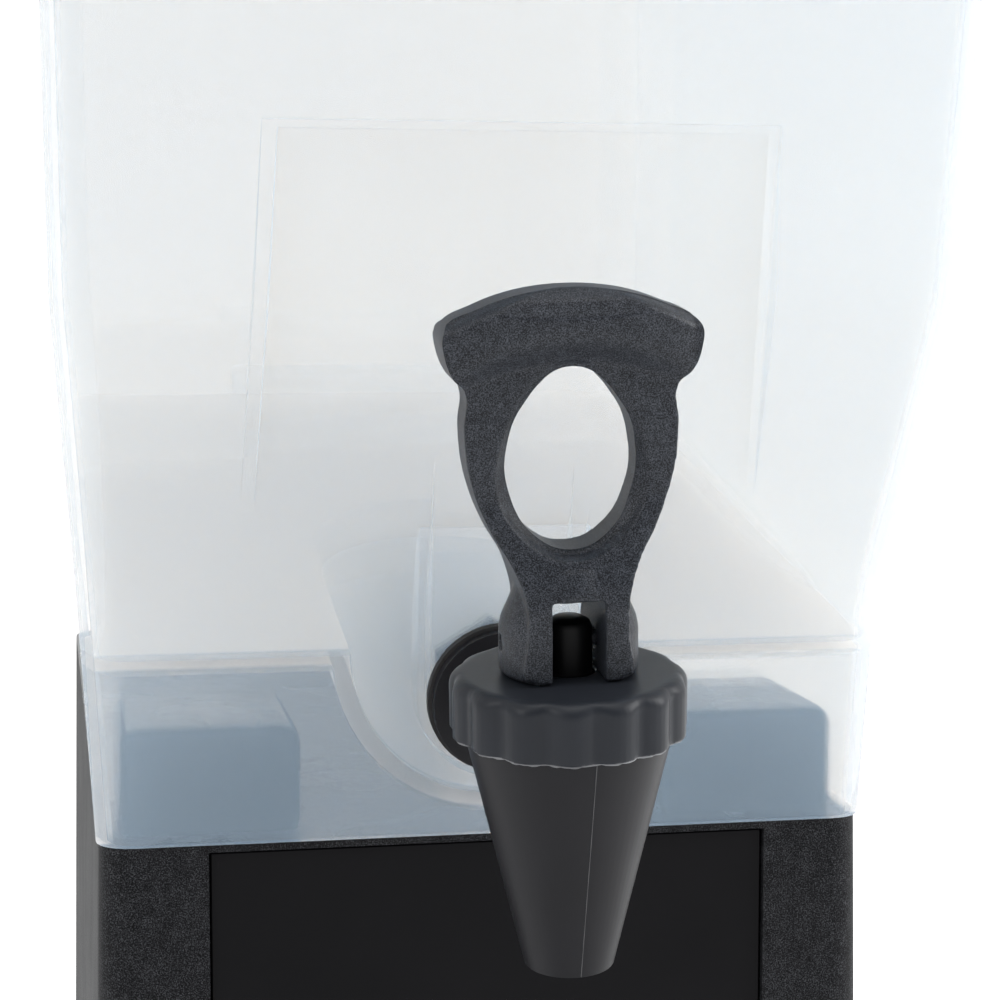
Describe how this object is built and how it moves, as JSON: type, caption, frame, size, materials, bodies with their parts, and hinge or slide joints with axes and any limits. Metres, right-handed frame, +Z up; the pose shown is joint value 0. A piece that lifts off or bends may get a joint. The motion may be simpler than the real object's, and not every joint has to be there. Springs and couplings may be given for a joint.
{
  "type": "gravity-fed drink dispenser",
  "caption": "Slim countertop drink dispenser: milky plastic tank with a pull-handle tap at the front, on a black cup-height base with a drip tray.",
  "frame": {"origin": "centre of the overall box in plan, on the surface the feet stand on", "axes": "+Z up, -Y towards the user (tap side), +X to the user's right when facing the tap"},
  "size_m": [0.2118, 0.402, 0.5338],
  "materials": {
    "black_textured": "fine grained black moulding",
    "black_gloss": "smooth polished black",
    "black_rubber": "matt black rubber",
    "milky_plastic": "translucent milky polypropylene",
    "lid_black": "satin black",
    "satin_charcoal": "satin charcoal",
    "speckled_charcoal": "charcoal with a fine light speckle",
    "seal_silicone": "pale silicone",
    "spring_steel": "bright drawn wire"
  },
  "bodies": {
    "base": {"base_housing": "black_textured", "front_panel": "black_gloss", "base_foot": "black_textured", "rubber_foot_1": "black_rubber", "rubber_foot_2": "black_rubber", "rubber_foot_3": "black_rubber", "rubber_foot_4": "black_rubber"},
    "tank": {"tank": "milky_plastic", "tap_body": "satin_charcoal", "tap_outer_washer": "black_rubber", "tap_inner_washer": "black_rubber", "tap_shank_nut": "satin_charcoal", "tap_bonnet": "satin_charcoal"},
    "lid": {"lid": "lid_black"},
    "tray": {"drip_tray": "black_gloss"},
    "grate": {"drip_grate": "black_textured"},
    "stem": {"tap_stem": "speckled_charcoal", "tap_seat_cup": "seal_silicone", "tap_spring": "spring_steel", "tap_pin": "speckled_charcoal"},
    "handle": {"tap_handle": "speckled_charcoal"}
  },
  "joints": [
    {"name": "tank_lift", "type": "slide", "parent": "base", "child": "tank", "axis": [0, 0, 1], "range_m": [0, 0.12]},
    {"name": "lid_lift", "type": "slide", "parent": "tank", "child": "lid", "axis": [0, 0, 1], "range_m": [0, 0.06]},
    {"name": "drip_tray_lift", "type": "slide", "parent": "base", "child": "tray", "axis": [0, 0, 1], "range_m": [0, 0.05]},
    {"name": "grate_lift", "type": "slide", "parent": "tray", "child": "grate", "axis": [0, 0, 1], "range_m": [0, 0.04]},
    {"name": "tap_stem_lift", "type": "slide", "parent": "tank", "child": "stem", "axis": [-0.0349, -0.1356, 0.9901], "range_m": [0, 0.0042], "deforming": ["tap_spring"]},
    {"name": "tap_handle_tilt", "type": "hinge", "parent": "stem", "child": "handle", "pos_m": [-0.00113, -0.146, 0.28123], "axis": [0.9994, -0.0047, 0.0346], "range_deg": [0, 24]}
  ],
  "couplings": [
    {"joint": "tap_stem_lift", "follows": "tap_handle_tilt", "m_per_rad": 0.0093}
  ]
}
